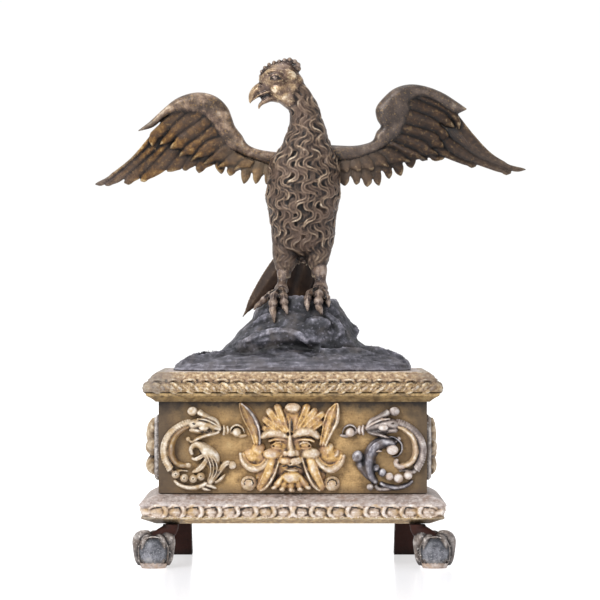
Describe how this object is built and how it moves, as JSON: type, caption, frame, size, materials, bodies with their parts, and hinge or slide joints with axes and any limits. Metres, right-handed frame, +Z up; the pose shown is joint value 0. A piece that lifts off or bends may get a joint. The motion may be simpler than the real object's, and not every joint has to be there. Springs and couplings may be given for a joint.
{
  "type": "carved eagle statue on a plinth",
  "caption": "Carved and gilt wooden eagle with spread wings on a painted rock, set on a hollow giltwood plinth with a leaf mask, scrolls and claw-and-ball feet.",
  "frame": {"origin": "on the ground under the middle of the overall box (wings, plinth and feet)", "axes": "+Z up, the front of the plinth and the eagle's breast face -Y, +X to the viewer's right"},
  "size_m": [0.651, 0.303, 0.7541],
  "materials": {
    "eagle_gilt": "carved limewood, worn brown water gilding over bole",
    "wing_gilt": "carved wood, darkened and rubbed gilding",
    "dark_wood": "dark stained softwood, matt",
    "painted_rock": "carved wood, black and blue-grey oil paint",
    "worn_gilt": "carved wood, ochre gilding rubbed to gesso",
    "worn_gesso": "carved wood, chipped gesso with traces of gold",
    "ochre_board": "painted board, dull ochre gold",
    "worn_silver": "carved wood, tarnished silver leaf"
  },
  "bodies": {
    "root": {"eagle_body": "eagle_gilt", "wing_left": "wing_gilt", "wing_right": "wing_gilt", "tail": "dark_wood", "base_back": "dark_wood", "case_back": "dark_wood", "rear_foot_left": "dark_wood", "rear_foot_right": "dark_wood", "rock": "painted_rock", "top_board": "worn_gilt", "cavetto_front": "worn_gilt", "cavetto_left": "worn_gilt", "cavetto_right": "worn_gilt", "plaque_left": "worn_gilt", "plaque_right": "worn_gilt", "mask": "worn_gilt", "base_front": "worn_gesso", "base_left": "worn_gesso", "base_right": "worn_gesso", "scroll_left": "worn_gesso", "case_front": "ochre_board", "case_left": "ochre_board", "case_right": "ochre_board", "scroll_right": "worn_silver", "claw_foot_left": "worn_silver", "claw_foot_right": "worn_silver"}
  },
  "joints": []
}
